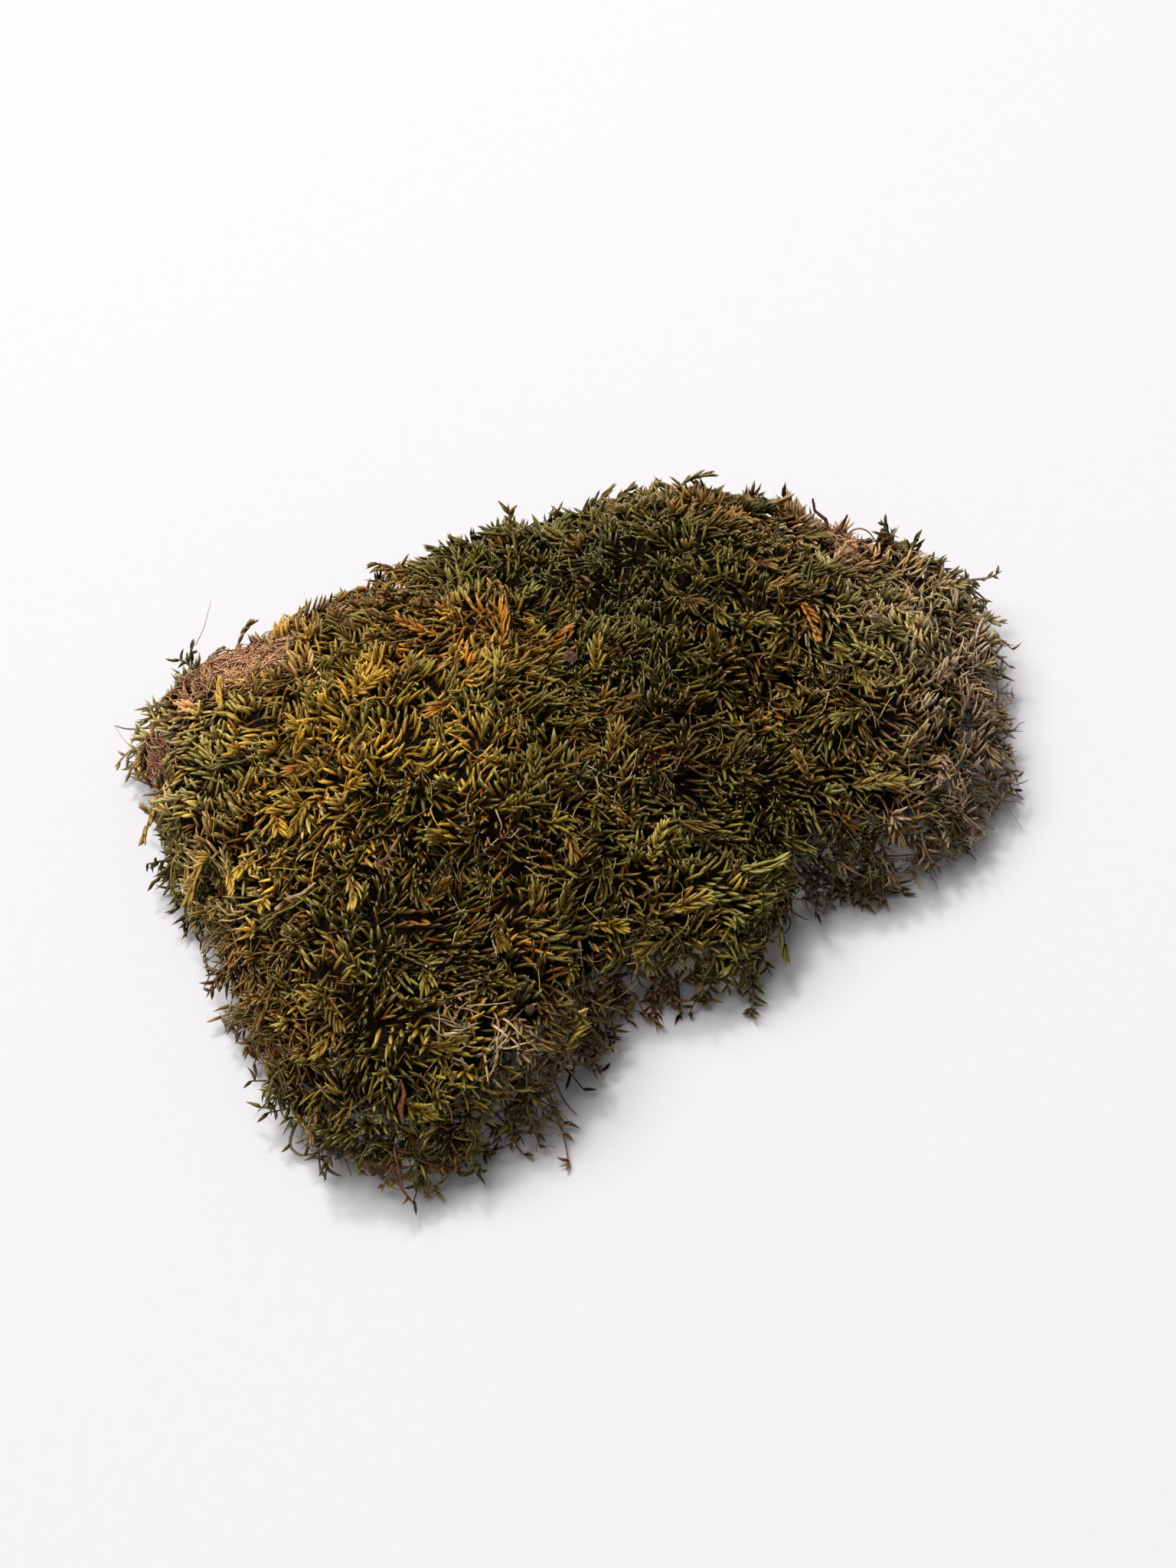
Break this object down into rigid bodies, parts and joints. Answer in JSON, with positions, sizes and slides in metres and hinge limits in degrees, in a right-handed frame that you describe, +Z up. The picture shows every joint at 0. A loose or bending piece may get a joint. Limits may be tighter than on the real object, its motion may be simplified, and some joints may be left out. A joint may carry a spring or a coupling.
{
  "type": "moss clump",
  "caption": "Low lumpy cushion of feathery moss with loose shoots along its rim and bits of litter caught in it, cut off flat to rest on a surface.",
  "frame": {"origin": "bottom centre of the whole clump's box, on the flat cut face that it rests on", "axes": "+X to the end of the round lobe on the right as pictured, +Y from the narrow tongue in front to the back crest, +Z up from the cut face"},
  "size_m": [0.2064, 0.1784, 0.0456],
  "materials": {
    "moss": "matte",
    "twig": "matte",
    "rootlet": "matte",
    "root": "matte",
    "bark": "matte",
    "needle": "satin",
    "dead_leaf": "matte",
    "soil": "matte"
  },
  "bodies": {
    "root": {"moss_cushion": "moss", "pale_twig": "twig", "forked_rootlet": "rootlet", "crest_root": "root", "bark_flake": "bark", "brown_needle": "needle", "leaf_scrap": "dead_leaf", "soil_crumb": "soil"}
  },
  "joints": []
}
